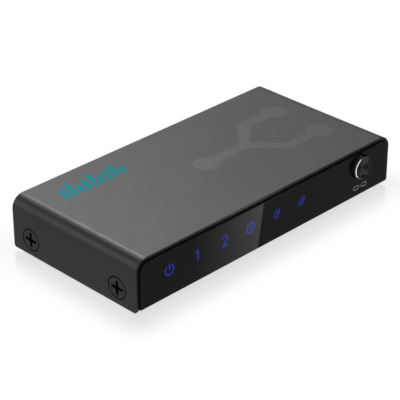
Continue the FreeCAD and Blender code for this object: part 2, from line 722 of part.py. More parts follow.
def make_switch():
    """The push switch that stands on the board behind the button."""
    plunger = keep(doc.addObject("Part::Cylinder", "plunger"), "switch_plunger")
    bind(plunger, Radius="plunger_radius", Height="plunger_reach + plunger_root")
    put(plunger, "button_x", "stem_end", "button_axis", ALONG_Y)

    body = new_body("switch_body")
    block(body, "Additive", "case", "switch_width", "switch_depth",
          "button_axis + switch_roof - board_top")
    round_bar(body, "Subtractive", "plunger_hole", "plunger_radius + plunger_clearance",
              "plunger_root + travel + plunger_clearance",
              z="button_axis - board_top", turn=ALONG_Y)
    put(body, "button_x", "switch_face", "board_top")

    bracket = new_body("switch_bracket")
    tall = "button_axis + switch_roof - board_top"
    block(bracket, "Additive", "back", "switch_width + 2 * bracket_gauge", "bracket_gauge", tall,
          y="switch_depth")
    for side in ("-", ""):
        name = "right" if side == "" else "left"
        flank = "%s(switch_width + bracket_gauge) / 2" % side
        block(bracket, "Additive", name + "_flank", "bracket_gauge", "switch_depth", tall, flank)
        block(bracket, "Additive", name + "_foot", "bracket_foot", "switch_depth",
              "bracket_gauge", "%s(switch_width + bracket_foot) / 2" % side)
    put(bracket, "button_x", "switch_face", "board_top")


# Board and what holds it

def post_places():
    """The four places where the board is screwed down."""
    for sign in ("-", ""):
        for line in ("board_front + post_front", "board_back - post_rear"):
            yield "%s(board_half - post_inset)" % sign, line


def make_board():
    """The board and its four hexagonal posts, each with a neck through the board and a head."""
    board = new_body("main_board")
    outline = [("-board_half", "board_front"), ("board_half", "board_front"),
               ("board_half", "board_back"), ("-board_half", "board_back")]
    pad(board, sketch(board, "XY_Plane", outline, "board_outline"), "board_thickness", "laminate")
    for index, (x, y) in enumerate(post_places()):
        hexagon_bar(board, "Subtractive", "hole_%d" % index, "post_neck + neck_clearance",
                    "board_thickness", x, y)
    put(board, z="board_under")

    posts = new_body("board_standoffs")
    for index, (x, y) in enumerate(post_places()):
        hexagon_bar(posts, "Additive", "post_%d" % index, "standoff_corner", "standoff_height",
                    x, y)
        hexagon_bar(posts, "Additive", "neck_%d" % index, "post_neck", "board_thickness", x, y,
                    "standoff_height")
        hexagon_bar(posts, "Additive", "head_%d" % index, "post_head", "post_cap", x, y,
                    "standoff_height + board_thickness")
    put(posts, z="floor_top")


# Video sockets: folded shell, moulded tongue and nineteen contacts

def contact_outline(level, gauge, leg):
    """Side view of one contact: strip on the tongue, leg behind the base, foot on the board."""
    tip = "-(tongue_setback + contact_setback)"
    back = "-(shell_depth + %s)" % leg
    low = "%s" % level
    high = "%s + %s" % (level, gauge)
    return [
        (tip, low), (tip, high), (back, high), (back, "contact_gauge"),
        (back + " - contact_foot", "contact_gauge"), (back + " - contact_foot", "0"),
        (back + " + contact_gauge", "0"), (back + " + contact_gauge", low),
    ]


def make_socket(name, index):
    """One socket, with its mouth just behind the rear wall."""
    side = socket_side(index)
    middle = "shell_gauge + mouth_height / 2"

    shell = new_body(name + "_shell")
    walls = pad(shell, sketch(shell, "XZ_Plane", shell_outline("0 * shell_gauge"), "outside"),
                "shell_depth", "walls")
    lip = pad(shell, sketch(shell, "XZ_Plane", shell_outline("lip_flare"), "lip_outline"),
              "lip_depth", "lip")
    cavity = sketch(shell, "XZ_Plane", shell_outline("-shell_gauge"), "inside")
    cut = shell.newObject("PartDesign::Pocket", "cavity")
    cut.Profile = cavity
    cut.Midplane = True
    bind(cut, Length="2 * shell_depth")
    doc.recompute()
    mouth = [found for found in edges(cut, None, y=["0"])
             if cut.Shape.getElement(found).BoundBox.XMax < value("mouth_width / 2") + NEAR
             and cut.Shape.getElement(found).BoundBox.XMin > -value("mouth_width / 2") - NEAR
             and cut.Shape.getElement(found).BoundBox.ZMax
             < value("mouth_height + shell_gauge") + NEAR
             and cut.Shape.getElement(found).BoundBox.ZMin > value("shell_gauge") - NEAR]
    dress(shell, "Chamfer", "lead_in", cut, mouth, "lip_depth / 2")
    top = "mouth_height + shell_gauge"
    for sign in ("-", ""):
        tag = "left" if sign else "right"
        inner = "%s(spring_side + spring_width / 2 + spring_slot / 2)" % sign
        outer = "%s(spring_side - spring_width / 2 - spring_slot / 2)" % sign
        start = "-(spring_start + spring_length)"
        block(shell, "Subtractive", "slit_a_" + tag, "spring_slot", "spring_length",
              "shell_gauge", inner, start, top)
        block(shell, "Subtractive", "slit_b_" + tag, "spring_slot", "spring_length",
              "shell_gauge", outer, start, top)
        block(shell, "Subtractive", "slit_c_" + tag, "spring_width + 2 * spring_slot",
              "spring_slot", "shell_gauge", "%sspring_side" % sign, start, top)
    put(shell, side, "nose_face", "board_top")

    contacts = new_body(name + "_contacts")
    over = middle + " + tongue_thickness / 2"
    under = middle + " - tongue_thickness / 2 - contact_gauge"
    for tag, level, leg, count in (("upper", over, "upper_tail", "upper_contacts"),
                                   ("lower", under, "lower_tail", "lower_contacts")):
        outline = contact_outline(level, "contact_gauge", leg)
        drawing = sketch(contacts, "YZ_Plane", outline, tag + "_profile",
                         "-contact_pitch * (%s - 1) / 2" % count)
        strip = pad(contacts, drawing, "contact_width", tag + "_contact", both_ways=True)
        row(contacts, [strip], "X_Axis", "contact_pitch * (%s - 1)" % count, count,
            tag + "_row")
    put(contacts, side, "nose_face", "board_top")

    moulding = doc.addObject("PartDesign::Body", name + "_moulding")
    drawing = sketch(moulding, "XZ_Plane", shell_outline("-(shell_gauge + base_clearance)"),
                     "base_outline", "shell_depth - base_depth")
    pad(moulding, drawing, "base_depth", "base")
    block(moulding, "Additive", "tongue", "tongue_width",
          "shell_depth - base_depth - tongue_setback", "tongue_thickness",
          y="base_depth - shell_depth", z=middle + " - tongue_thickness / 2")
    put(moulding, side, "nose_face", "board_top")
    insulator = keep(doc.addObject("Part::Cut", name + "_cut"), name + "_insulator")
    insulator.Base = moulding
    insulator.Tool = contacts


# Power jack

def make_jack():
    """The round power jack: housing with a nose, centre pin and spring leaf."""
    reach = "(nose_face - wall_inside + jack_gap)"
    axis = "jack_height / 2"
    housing = new_body("jack_housing")
    block(housing, "Additive", "case", "jack_width", "jack_depth", "jack_height",
          y="-" + reach + " - jack_depth")
    round_bar(housing, "Additive", "nose", "jack_nose", reach, y="-" + reach, z=axis,
              turn=ALONG_Y)
    round_bar(housing, "Subtractive", "bore", "jack_bore", "jack_bore_depth",
              y="-jack_bore_depth", z=axis, turn=ALONG_Y)
    round_bar(housing, "Subtractive", "pin_seat", "pin_radius", "pin_root",
              y="-jack_bore_depth - pin_root", z=axis, turn=ALONG_Y)
    block(housing, "Subtractive", "leaf_groove", "leaf_width + 2 * leaf_clearance",
          "jack_bore_depth", "jack_bore", y="-jack_bore_depth",
          z=axis + " - jack_bore - leaf_sink")
    put(housing, "jack_x", "nose_face", "board_top")

    pin = new_body("jack_pin")
    shaft = round_bar(pin, "Additive", "shaft", "pin_radius",
                      "jack_bore_depth - pin_setback + pin_root", turn=ALONG_Y)
    tip = edges(shaft, None, x=["0"], y=["jack_bore_depth - pin_setback + pin_root"], z=["0"])
    dress(pin, "Chamfer", "tip", shaft, tip, "pin_radius / 2")
    put(pin, "jack_x", "nose_face - jack_bore_depth - pin_root", "board_top + " + axis)

    leaf = keep(doc.addObject("Part::Box", "leaf"), "jack_spring")
    bind(leaf, Length="leaf_width", Width="leaf_length", Height="leaf_thickness")
    put(leaf, "jack_x - leaf_width / 2", "nose_face - jack_bore_depth",
        "board_top + %s - jack_bore - leaf_sink" % axis)


# Chips and other parts on the board

def make_chip():
    """The splitter chip, its thermal pad and the finned heat sink on top."""
    chip = new_body("splitter_chip")
    block(chip, "Additive", "case", "chip_width", "chip_width", "chip_height",
          y="-chip_width / 2")
    put(chip, "chip_x", "chip_line", "board_top")

    soft = keep(doc.addObject("Part::Box", "soft_pad"), "thermal_pad")
    across = "chip_width - 2 * pad_inset"
    bind(soft, Length=across, Width=across, Height="pad_thickness")
    put(soft, "chip_x - (%s) / 2" % across, "chip_line - (%s) / 2" % across,
        "board_top + chip_height")

    sink = new_body("heat_sink")
    block(sink, "Additive", "plate", "sink_width", "sink_width", "sink_base",
          y="-sink_width / 2")
    fin = block(sink, "Additive", "fin", "fin_thickness", "sink_width", "fin_height",
                "(fin_thickness - sink_width) / 2", "-sink_width / 2", "sink_base")
    row(sink, [fin], "X_Axis", "sink_width - fin_thickness", "fin_count", "fins")
    put(sink, "chip_x", "chip_line", "board_top + chip_height + pad_thickness")


def make_power_parts():
    """Regulator, power coil and two capacitors beside the jack."""
    regulator = new_body("regulator")
    block(regulator, "Additive", "case", "regulator_width", "regulator_depth",
          "regulator_height", y="-regulator_depth / 2")
    block(regulator, "Additive", "tab", "tab_width", "lead_reach", "lead_thickness",
          y="regulator_depth / 2")
    lead = block(regulator, "Additive", "lead", "lead_width", "lead_reach", "lead_thickness",
                 "-lead_pitch", "-regulator_depth / 2 - lead_reach")
    row(regulator, [lead], "X_Axis", "2 * lead_pitch", "3", "leads")
    put(regulator, "regulator_x", "regulator_line", "board_top")

    coil = new_body("power_inductor")
    case = block(coil, "Additive", "case", "coil_width", "coil_width", "coil_height",
                 y="-coil_width / 2")
    dress(coil, "Chamfer", "corners", case, edges(case, "z"), "coil_corner")
    put(coil, "jack_x", "can_line", "board_top")

    cans = new_body("capacitors")
    base = block(cans, "Additive", "base", "can_base_width", "can_base_width", "can_base",
                 y="-can_base_width / 2")
    can = round_bar(cans, "Additive", "can", "can_radius", "can_height", z="can_base")
    row(cans, [base, can], "Y_Axis", "can_pitch", "2", "pair", backwards=True)
    put(cans, "regulator_x", "can_line", "board_top")


def make_signal_parts():
    """Crystal can, and one memory chip in front of each socket."""
    crystal = new_body("crystal")
    can = block(crystal, "Additive", "can", "crystal_width", "crystal_length", "crystal_height",
                y="-crystal_length / 2")
    dress(crystal, "Chamfer", "ends", can, edges(can, "z"), "crystal_corner")
    put(crystal, "crystal_x", "chip_line", "board_top")

    for index in range(3):
        memory = new_body("memory_chip_%d" % (index + 1))
        block(memory, "Additive", "case", "memory_width", "memory_depth", "memory_height",
              y="-memory_depth / 2")
        spread = "memory_leg_pitch * (memory_legs - 1)"
        leg = block(memory, "Additive", "legs", "memory_leg_width",
                    "memory_depth + 2 * memory_leg_reach", "contact_gauge",
                    "-(%s) / 2" % spread, "-memory_depth / 2 - memory_leg_reach")
        row(memory, [leg], "X_Axis", spread, "memory_legs", "leg_row")
        put(memory, socket_side(index), "memory_line", "board_top")


make_cover()
for side in ("left", "right"):
    for end in ("front", "rear"):
        make_cover_screw(side, end)
        make_foot(side, end)
make_tray()
make_panel()
make_baffle()
make_light_guide()
make_lights()
make_button()
make_switch()
make_board()
for index, name in enumerate(("socket_in", "socket_out_1", "socket_out_2")):
    make_socket(name, index)
make_jack()
make_chip()
make_power_parts()
make_signal_parts()
doc.recompute()

for item in doc.Objects:
    if "Invalid" in item.State or "Error" in item.State:
        raise SystemExit("%s failed to build" % item.Label)
for node in nodes:
    if node.Shape.isNull() or not node.Shape.isValid():
        raise SystemExit("%s has no valid shape" % node.Label)

os.makedirs("parts", exist_ok=True)
for node in nodes:
    node.Shape.exportStep("parts/%s.step" % node.Label)
print("%d sub-parts" % len(nodes))
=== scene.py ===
# %% [markdown]
# # A slim video splitter in a folded metal box
# The object is a small box that copies one video signal to two screens. Its shapes come from a CAD
# model that is already assembled, so this lesson is about looks: metal paint, polished plastic, lit
# symbols, a spun button and the light of a plain studio. Sizes are written in millimetres and turned
# into Blender's metres with one factor.

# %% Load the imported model
import math
import bmesh
import bpy
from mathutils import Matrix, Vector


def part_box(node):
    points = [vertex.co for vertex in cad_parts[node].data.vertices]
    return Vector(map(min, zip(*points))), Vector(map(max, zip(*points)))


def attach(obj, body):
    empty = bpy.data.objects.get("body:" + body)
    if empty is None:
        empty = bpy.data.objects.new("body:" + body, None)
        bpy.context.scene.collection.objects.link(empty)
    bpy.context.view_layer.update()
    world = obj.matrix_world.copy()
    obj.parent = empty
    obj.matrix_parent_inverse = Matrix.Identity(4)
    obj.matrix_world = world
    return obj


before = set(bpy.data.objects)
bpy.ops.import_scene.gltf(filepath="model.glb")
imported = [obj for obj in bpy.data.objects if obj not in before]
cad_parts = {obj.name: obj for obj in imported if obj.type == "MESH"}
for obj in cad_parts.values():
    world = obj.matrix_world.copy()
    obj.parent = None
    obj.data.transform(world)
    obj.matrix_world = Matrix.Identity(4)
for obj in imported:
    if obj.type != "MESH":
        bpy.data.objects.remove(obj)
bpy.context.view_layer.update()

MM = 0.001

# %% [markdown]
# ## Tools for finishes
# A finish is a material made of nodes. Each one starts from the Principled shader, whose plain values
# are set on the shader itself. Whatever varies over the surface, such as grain or wear, is a pattern
# that reads the object's own coordinates, so it stays on the surface from every side.

# %% Start a finish and add nodes to it
def start_finish(name, colour, roughness, metallic=0.0, **values):
    """A new finish with its plain values set on the shader."""
    finish = bpy.data.materials.new(name)
    finish.use_nodes = True
    shader = finish.node_tree.nodes["Principled BSDF"]
    shader.inputs["Base Color"].default_value = (*colour, 1)
    shader.inputs["Roughness"].default_value = roughness
    shader.inputs["Metallic"].default_value = metallic
    for socket, value in values.items():
        shader.inputs[socket.replace("_", " ")].default_value = value
    return finish


def shader_of(finish):
    """The finish's principled shader."""
    return finish.node_tree.nodes["Principled BSDF"]


def add(tree, kind, feeds=(), out=0, **options):
    """Add a node, feed its inputs with numbers or other outputs, and hand back one output."""
    made = tree.nodes.new("ShaderNode" + kind)
    for option, value in options.items():
        setattr(made, option, value)
    pairs = feeds.items() if isinstance(feeds, dict) else enumerate(feeds)
    for socket, value in pairs:
        if isinstance(value, bpy.types.NodeSocket):
            tree.links.new(value, made.inputs[socket])
        else:
            made.inputs[socket].default_value = value
    return made.outputs[out]


def maths(tree, operation, *feeds):
    """One step of arithmetic."""
    return add(tree, "Math", feeds, operation=operation)


def length_of(tree, first, second):
    """How far a point is that lies so much one way and so much the other."""
    return maths(tree, "SQRT", maths(tree, "ADD", maths(tree, "MULTIPLY", first, first),
                                     maths(tree, "MULTIPLY", second, second)))


def ramp(tree, value, start, end, low=0.0, high=1.0, soft=True):
    """Low until the value reaches start, high from end on, and smooth between them."""
    kind = "SMOOTHSTEP" if soft else "LINEAR"
    return add(tree, "MapRange", (value, start, end, low, high), interpolation_type=kind)


def mix_colours(tree, share, *colours):
    """Go from one colour to another as the share goes from nought to one."""
    first, second = (colour if isinstance(colour, bpy.types.NodeSocket) else (*colour, 1)
                     for colour in colours)
    return add(tree, "Mix", {0: share, 6: first, 7: second}, out=2, data_type="RGBA")


def feed(finish, socket, value):
    """Let a node's output drive one of the shader's inputs."""
    finish.node_tree.links.new(value, shader_of(finish).inputs[socket])


print("tools for finishes are ready")

# %% [markdown]
# Three patterns serve nearly every finish here: grain, which is a shallow bump; a mottle, which moves
# the colour a little; and a patchy roughness, which is what tells a real surface from a drawn one.
# Their sizes are in millimetres, because the coordinates are multiplied by a thousand first.

# %% Grain, mottle and patchy gloss
def surface_mm(tree, stretch=(1, 1, 1)):
    """The object's own coordinates in millimetres, stretched for a pattern."""
    own = add(tree, "TexCoord", out="Object")
    return add(tree, "Mapping", {"Vector": own, "Scale": [part / MM for part in stretch]})


def axes_mm(tree):
    """The object's own X, Y and Z in millimetres, apart from each other."""
    return add(tree, "SeparateXYZ", (surface_mm(tree),)).node.outputs


def cloud(tree, size, detail=2.0, stretch=(1, 1, 1)):
    """Soft random patches about as large as size, in millimetres."""
    places = surface_mm(tree, stretch=stretch)
    return add(tree, "TexNoise", {"Vector": places, "Scale": 1 / size, "Detail": detail}, out="Fac")


def give_grain(finish, size, depth, detail=2.0, stretch=(1, 1, 1), rounding=0.0):
    """A bump of fine grain, in millimetres, and edges that catch the light as if rounded."""
    tree = finish.node_tree
    feeds = {"Height": cloud(tree, size, detail, stretch), "Distance": depth * MM}
    if rounding:
        feeds["Normal"] = add(tree, "Bevel", {"Radius": rounding * MM}, samples=6)
    feed(finish, "Normal", add(tree, "Bump", feeds, out="Normal"))
    return finish


def give_mottle(finish, other, size, stretch=(1, 1, 1), detail=3.0):
    """Colour that drifts between the finish's own and another."""
    tree = finish.node_tree
    own = shader_of(finish).inputs["Base Color"].default_value[:3]
    share = ramp(tree, cloud(tree, size, detail, stretch), 0.35, 0.65)
    feed(finish, "Base Color", mix_colours(tree, share, own, other))
    return finish


def give_patches(finish, rough, size, stretch=(1, 1, 1)):
    """Roughness that drifts between the finish's own and another."""
    tree = finish.node_tree
    own = shader_of(finish).inputs["Roughness"].default_value
    feed(finish, "Roughness", ramp(tree, cloud(tree, size, 4.0, stretch), 0.3, 0.7, own, rough))
    return finish


def put_on(finish, *names):
    """Give CAD solids a finish, on the slot that they already have."""
    for name in names:
        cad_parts[name].material_slots[0].material = finish
    print(finish.name, "on", len(names), "solids")


print("patterns are ready")

# %% [markdown]
# ## The cover's paint
# The cover is one folded sheet with a fine dark-grey metal paint. Metal paint is mostly reflection:
# it shows bright where it faces the light side of the studio and nearly black where it faces the
# dark side, which is what draws the soft stripes along the bend. So the shader is almost all metal,
# satin, with a very fine grain.
#
# The sheet carries two printed marks of a plain kind. One is a large forked line, tone on tone, for
# one signal that becomes two. The other is a row of slanted teal bars. A print has no thickness to
# speak of, so both are drawn inside the paint with distances: a distance to a line is small on it.

# %% Measure distances on the cover's top
def distance_to_line(tree, across, along, start, end):
    """How far a point is from the line between two points, in millimetres."""
    run = (end[0] - start[0], end[1] - start[1])
    length = run[0] ** 2 + run[1] ** 2
    from_x = maths(tree, "SUBTRACT", across, start[0])
    from_y = maths(tree, "SUBTRACT", along, start[1])
    dot = maths(tree, "ADD", maths(tree, "MULTIPLY", from_x, run[0] / length),
                maths(tree, "MULTIPLY", from_y, run[1] / length))
    share = add(tree, "Clamp", (dot,))
    off_x = maths(tree, "SUBTRACT", from_x, maths(tree, "MULTIPLY", share, run[0]))
    off_y = maths(tree, "SUBTRACT", from_y, maths(tree, "MULTIPLY", share, run[1]))
    return length_of(tree, off_x, off_y)


def inside(tree, distance, radius, edge=0.12):
    """One where the distance is under the radius, nought beyond it."""
    return ramp(tree, distance, radius - edge, radius + edge, 1.0, 0.0)


def forked_line(tree, x, y):
    """The large mark: a round start, a trunk, and two arms with round ends."""
    middle, line, dot, arm = 1.5, 2.1, 4.6, 10.5
    folded = maths(tree, "ABSOLUTE", maths(tree, "SUBTRACT", y, middle))
    strokes = (
        ((0, 0), (19, 0), line), ((19, 0), (29, arm), line), ((29, arm), (44, arm), line),
        ((0, 0), (0.1, 0), dot), ((45, arm), (45.1, arm), dot),
    )
    mark = 0.0
    for start, end, radius in strokes:
        stroke = inside(tree, distance_to_line(tree, x, folded, start, end), radius)
        mark = maths(tree, "MAXIMUM", mark, stroke)
    return mark


def distance_to_screw(tree, axes):
    """How far a point of either side is from the nearest screw's axis, in millimetres."""
    middle, half_spacing, level = 1.025, 20.4, 6.8
    along = maths(tree, "ABSOLUTE", maths(tree, "SUBTRACT", axes["Y"], middle))
    along = maths(tree, "SUBTRACT", along, half_spacing)
    return length_of(tree, along, maths(tree, "SUBTRACT", axes["Z"], level))


print("marks are measured in millimetres on the cover's top")

# %% [markdown]
# The teal bars are one bar repeated: the remainder of a division gives each bar the same little
# coordinate, and the whole part of it numbers the bars, which is enough to give them uneven heights.

# %% Draw the teal bars
def slanted_bars(tree, x, y):
    """Nine slanted bars of uneven height."""
    left, bottom, pitch, half_bar, count, lean = -49.0, 16.8, 3.1, 1.08, 9, 0.25
    mean_height, sway, beat = 4.7, 1.9, 2.1
    leaning = maths(tree, "SUBTRACT", x, maths(tree, "MULTIPLY", y, lean))
    steps = maths(tree, "DIVIDE", maths(tree, "SUBTRACT", leaning, left - bottom * lean), pitch)
    number = maths(tree, "FLOOR", steps)
    local = maths(tree, "MULTIPLY", maths(tree, "SUBTRACT", steps, maths(tree, "ADD", number, 0.5)),
                  pitch)
    wave = maths(tree, "SINE", maths(tree, "MULTIPLY", number, beat))
    tall = maths(tree, "ADD", mean_height, maths(tree, "MULTIPLY", wave, sway))
    up = maths(tree, "SUBTRACT", y, bottom)
    over = maths(tree, "MAXIMUM", maths(tree, "SUBTRACT", up, tall),
                 maths(tree, "MULTIPLY", up, -1.0))
    over = maths(tree, "MAXIMUM", over, 0.0)
    within = maths(tree, "MULTIPLY", maths(tree, "GREATER_THAN", number, -0.5),
                   maths(tree, "LESS_THAN", number, count - 0.5))
    return maths(tree, "MULTIPLY", inside(tree, length_of(tree, local, over), half_bar, 0.1), within)


print("bars are ready")

# %% [markdown]
# Both marks belong to the top only, so they are multiplied by a mask that is one on the flat top. The
# tonal mark is a slightly lighter paint. The teal is an ink with the same metal pigment. Shade is
# painted into the colour: the countersinks round the screws and the front edge of the top are dark.

# %% Mix the cover's paint
cover_paint = start_finish("satin_metal_paint", (0.15, 0.15, 0.151), 0.33, 1.0)
give_grain(cover_paint, 0.16, 0.0016, 1.0, rounding=0.1)
tree = cover_paint.node_tree
axes = axes_mm(tree)
top_start, top_level, sink_radius = 19.25, 19.38, 4.05
on_top = ramp(tree, axes["Z"], top_start, top_level - 0.03)
tonal = maths(tree, "MULTIPLY", forked_line(tree, axes["X"], axes["Y"]), on_top)
teal = maths(tree, "MULTIPLY", slanted_bars(tree, axes["X"], axes["Y"]), on_top)
drift = ramp(tree, cloud(tree, 14.0, 3.0), 0.3, 0.7)
plain = mix_colours(tree, drift, (0.142, 0.142, 0.143), (0.148, 0.148, 0.149))
marked = mix_colours(tree, tonal, plain, (0.177, 0.177, 0.178))
inked = mix_colours(tree, teal, marked, (0.0, 0.24, 0.275))
# painted shade: the countersinks round the screws and the front edge of the top are darkened in the
# colour
countersink_shade = inside(tree, distance_to_screw(tree, axes), sink_radius)
upper_half = maths(tree, "MULTIPLY", ramp(tree, axes["Z"], 14.0, 18.0),
                   ramp(tree, axes["Z"], top_start, top_level, 0.6, 1.0))
front_edge_shade = maths(tree, "MULTIPLY", ramp(tree, axes["Y"], -27.8, -27.3, 0.72, 0.0), upper_half)
painted_shade = maths(tree, "MAXIMUM", countersink_shade, front_edge_shade)
feed(cover_paint, "Base Color", mix_colours(tree, painted_shade, inked, (0.03, 0.03, 0.03)))
feed(cover_paint, "Roughness", ramp(tree, cloud(tree, 6.0, 4.0), 0.3, 0.7, 0.31, 0.35))
put_on(cover_paint, "top_cover")

# %% [markdown]
# ## The front: polished black plastic
# The panel is moulded and polished. Such a surface has almost no colour of its own: what the eye sees
# is the studio, mirrored weakly. A faint long wave keeps the mirror from looking like glass.

# %% Finish the panel
panel_gloss = start_finish("polished_black", (0.002, 0.002, 0.002), 0.03, IOR=1.5)
give_grain(panel_gloss, 9.0, 0.0008, 0.0)
give_patches(panel_gloss, 0.05, 5.0)
put_on(panel_gloss, "front_panel")

# %% [markdown]
# ## The push button
# The cap is black and a little less polished. Its ring has a diamond-turned bevel, which shines like
# chrome, with fine turning lines. Its colour is painted with shade: a dim rim inside and a dark one
# outside keep the bright band narrow. The face is spun: the grooves run in circles, which spreads the
# light into fans. Anisotropy does that in the shader, and its direction comes from a radial tangent
# about the button's own axis. The fans are also painted into the face's colour as painted highlights,
# brighter toward the right, so that they hold in weak light too.

# %% Finish the button
def radius_about(tree, centre):
    """How far a point is from an axis along Y, in millimetres."""
    axes = axes_mm(tree)
    return length_of(tree, maths(tree, "SUBTRACT", axes["X"], centre[0]),
                     maths(tree, "SUBTRACT", axes["Z"], centre[1]))


def give_rings(finish, centre, pitch, depth):
    """A bump of grooves in circles round an axis along Y, their pitch and depth in millimetres."""
    tree = finish.node_tree
    wave = maths(tree, "SINE", maths(tree, "MULTIPLY", radius_about(tree, centre), 2 * math.pi / pitch))
    feed(finish, "Normal", add(tree, "Bump", {"Height": wave, "Distance": depth * MM}, out="Normal"))


low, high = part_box("button_face")
button_axis = ((low.x + high.x) / 2 / MM, (low.z + high.z) / 2 / MM)
cap_black = give_grain(start_finish("black_cap", (0.006, 0.006, 0.006), 0.3, IOR=1.3), 0.3, 0.0006)
put_on(cap_black, "button_cap")

bevel_bright = start_finish("cut_bevel", (0.83, 0.83, 0.84), 0.13, 1.0)
give_rings(bevel_bright, button_axis, 0.05, 0.0006)
tree = bevel_bright.node_tree
radius = radius_about(tree, button_axis)
# painted shade: a dim inner rim and a dark outer rim on the bevel's colour keep its bright band narrow
painted_dim_rim, cut_bright, painted_dark_rim = 0.14, 0.83, 0.012
painted_bevel_tone = maths(tree, "MINIMUM", ramp(tree, radius, 3.86, 3.9, painted_dim_rim, cut_bright),
            ramp(tree, radius, 3.97, 4.05, cut_bright, painted_dark_rim))
feed(bevel_bright, "Base Color", add(tree, "CombineColor", (painted_bevel_tone, painted_bevel_tone, painted_bevel_tone)))
put_on(give_patches(bevel_bright, 0.2, 1.5), "button_ring")

face_spun = start_finish("spun_face", (0.06, 0.06, 0.064), 0.2, 1.0, Anisotropic=0.85,
                         Anisotropic_Rotation=0.25)
tree = face_spun.node_tree
axes = axes_mm(tree)
across = maths(tree, "SUBTRACT", axes["X"], button_axis[0])
up = maths(tree, "SUBTRACT", axes["Z"], button_axis[1])
# painted highlight: fans of light, brighter toward the right, are painted into the face's colour
fan_angle, face_radius = math.radians(76), 3.5
turned = maths(tree, "SUBTRACT", maths(tree, "ARCTAN2", up, across), fan_angle)
painted_fan_highlight = ramp(tree, maths(tree, "ABSOLUTE", maths(tree, "COSINE", turned)), 0.25, 0.95, 0.042, 0.16)
painted_fan_highlight = maths(tree, "MULTIPLY", painted_fan_highlight, ramp(tree, across, -face_radius, face_radius, 0.55, 1.55, soft=False))
painted_fan_tone = add(tree, "CombineColor", (painted_fan_highlight, painted_fan_highlight, maths(tree, "MULTIPLY", painted_fan_highlight, 1.05)))
feed(face_spun, "Base Color", painted_fan_tone)
feed(face_spun, "Tangent", add(tree, "Tangent", direction_type="RADIAL", axis="Y"))
give_rings(face_spun, button_axis, 0.16, 0.002)
put_on(give_patches(face_spun, 0.25, 2.0), "button_face")

# %% [markdown]
# ## Screws, feet and the tray
# The cover screws are black steel with a trace of oil. Their colour has painted shade, dark in the
# cross and at the rim, where the recess and the gap round the head lie in shadow. The feet are matt
# rubber, and the tray has a plain black coat that is duller than the cover's paint.

# %% Finish screws, feet and tray
screw_black = start_finish("blackened_steel", (0.15, 0.15, 0.152), 0.34, 1.0)
tree = screw_black.node_tree
axes = axes_mm(tree)
radius = distance_to_screw(tree, axes)
box_side = 60.0
depth = maths(tree, "SUBTRACT", box_side, maths(tree, "ABSOLUTE", axes["X"]))
# painted shade: the cross recess and the rim round the head are darkened in the colour
recess_shade = maths(tree, "MULTIPLY", ramp(tree, depth, 0.05, 0.4), ramp(tree, radius, 0.3, 1.2))
recess_shade = maths(tree, "MAXIMUM", recess_shade, ramp(tree, radius, 3.5, 3.62))
unshaded_share = maths(tree, "SUBTRACT", 1.0, maths(tree, "MULTIPLY", recess_shade, 0.9))
shade = maths(tree, "MULTIPLY", ramp(tree, cloud(tree, 0.8, 3.0), 0.35, 0.65, 0.13, 0.155), unshaded_share)
feed(screw_black, "Base Color", add(tree, "CombineColor", (shade, shade, shade)))
put_on(give_grain(screw_black, 0.2, 0.002), "cover_screw_left_front", "cover_screw_left_rear",
       "cover_screw_right_front", "cover_screw_right_rear")

foot_rubber = start_finish("foot_rubber", (0.016, 0.016, 0.016), 0.82)
give_mottle(foot_rubber, (0.024, 0.023, 0.022), 1.5)
put_on(give_grain(foot_rubber, 0.12, 0.006), "foot_front_left", "foot_front_right",
       "foot_rear_left", "foot_rear_right")

tray_coat = start_finish("tray_coat", (0.022, 0.022, 0.023), 0.48)
give_mottle(tray_coat, (0.028, 0.028, 0.029), 7.0)
put_on(give_grain(give_patches(tray_coat, 0.56, 4.0), 0.2, 0.003), "base_chassis")

# %% [markdown]
# ## Sockets and jack
# A socket's shell is folded steel with a nickel plate that was rolled before it was folded, so its
# fine lines run lengthwise. The contacts are gold flashed, and the moulding is black and matt.

# %% Finish the sockets and the jack
shell_nickel = start_finish("nickel_shell", (0.62, 0.60, 0.56), 0.26, 1.0)
give_mottle(shell_nickel, (0.52, 0.50, 0.47), 2.5, (1, 0.15, 1))
give_grain(give_patches(shell_nickel, 0.36, 1.2, (1, 0.1, 1)), 0.08, 0.0008, 1.0, (1, 0.05, 1))
put_on(shell_nickel, "socket_in_shell", "socket_out_1_shell", "socket_out_2_shell")

moulding_black = start_finish("black_moulding", (0.014, 0.014, 0.014), 0.42)
give_mottle(moulding_black, (0.019, 0.019, 0.019), 1.0)
give_grain(moulding_black, 0.15, 0.004)
put_on(moulding_black, "socket_in_insulator", "socket_out_1_insulator", "socket_out_2_insulator",
       "jack_housing", "light_baffle", "switch_body")

contact_gold = start_finish("gold_contact", (0.86, 0.62, 0.24), 0.22, 1.0)
give_mottle(contact_gold, (0.78, 0.53, 0.20), 0.6)
put_on(contact_gold, "socket_in_contacts", "socket_out_1_contacts", "socket_out_2_contacts")

plating_bright = start_finish("bright_plating", (0.74, 0.74, 0.72), 0.17, 1.0)
give_patches(give_mottle(plating_bright, (0.66, 0.65, 0.63), 1.2), 0.3, 0.9)
put_on(plating_bright, "jack_pin", "jack_spring", "crystal")

# %% [markdown]
# ## The board and its parts
# The board is green laminate under a lacquer. A weave of glass shows through faintly, and copper
# tracks raise the lacquer in straight lines, so the bump is made of stretched blocks.

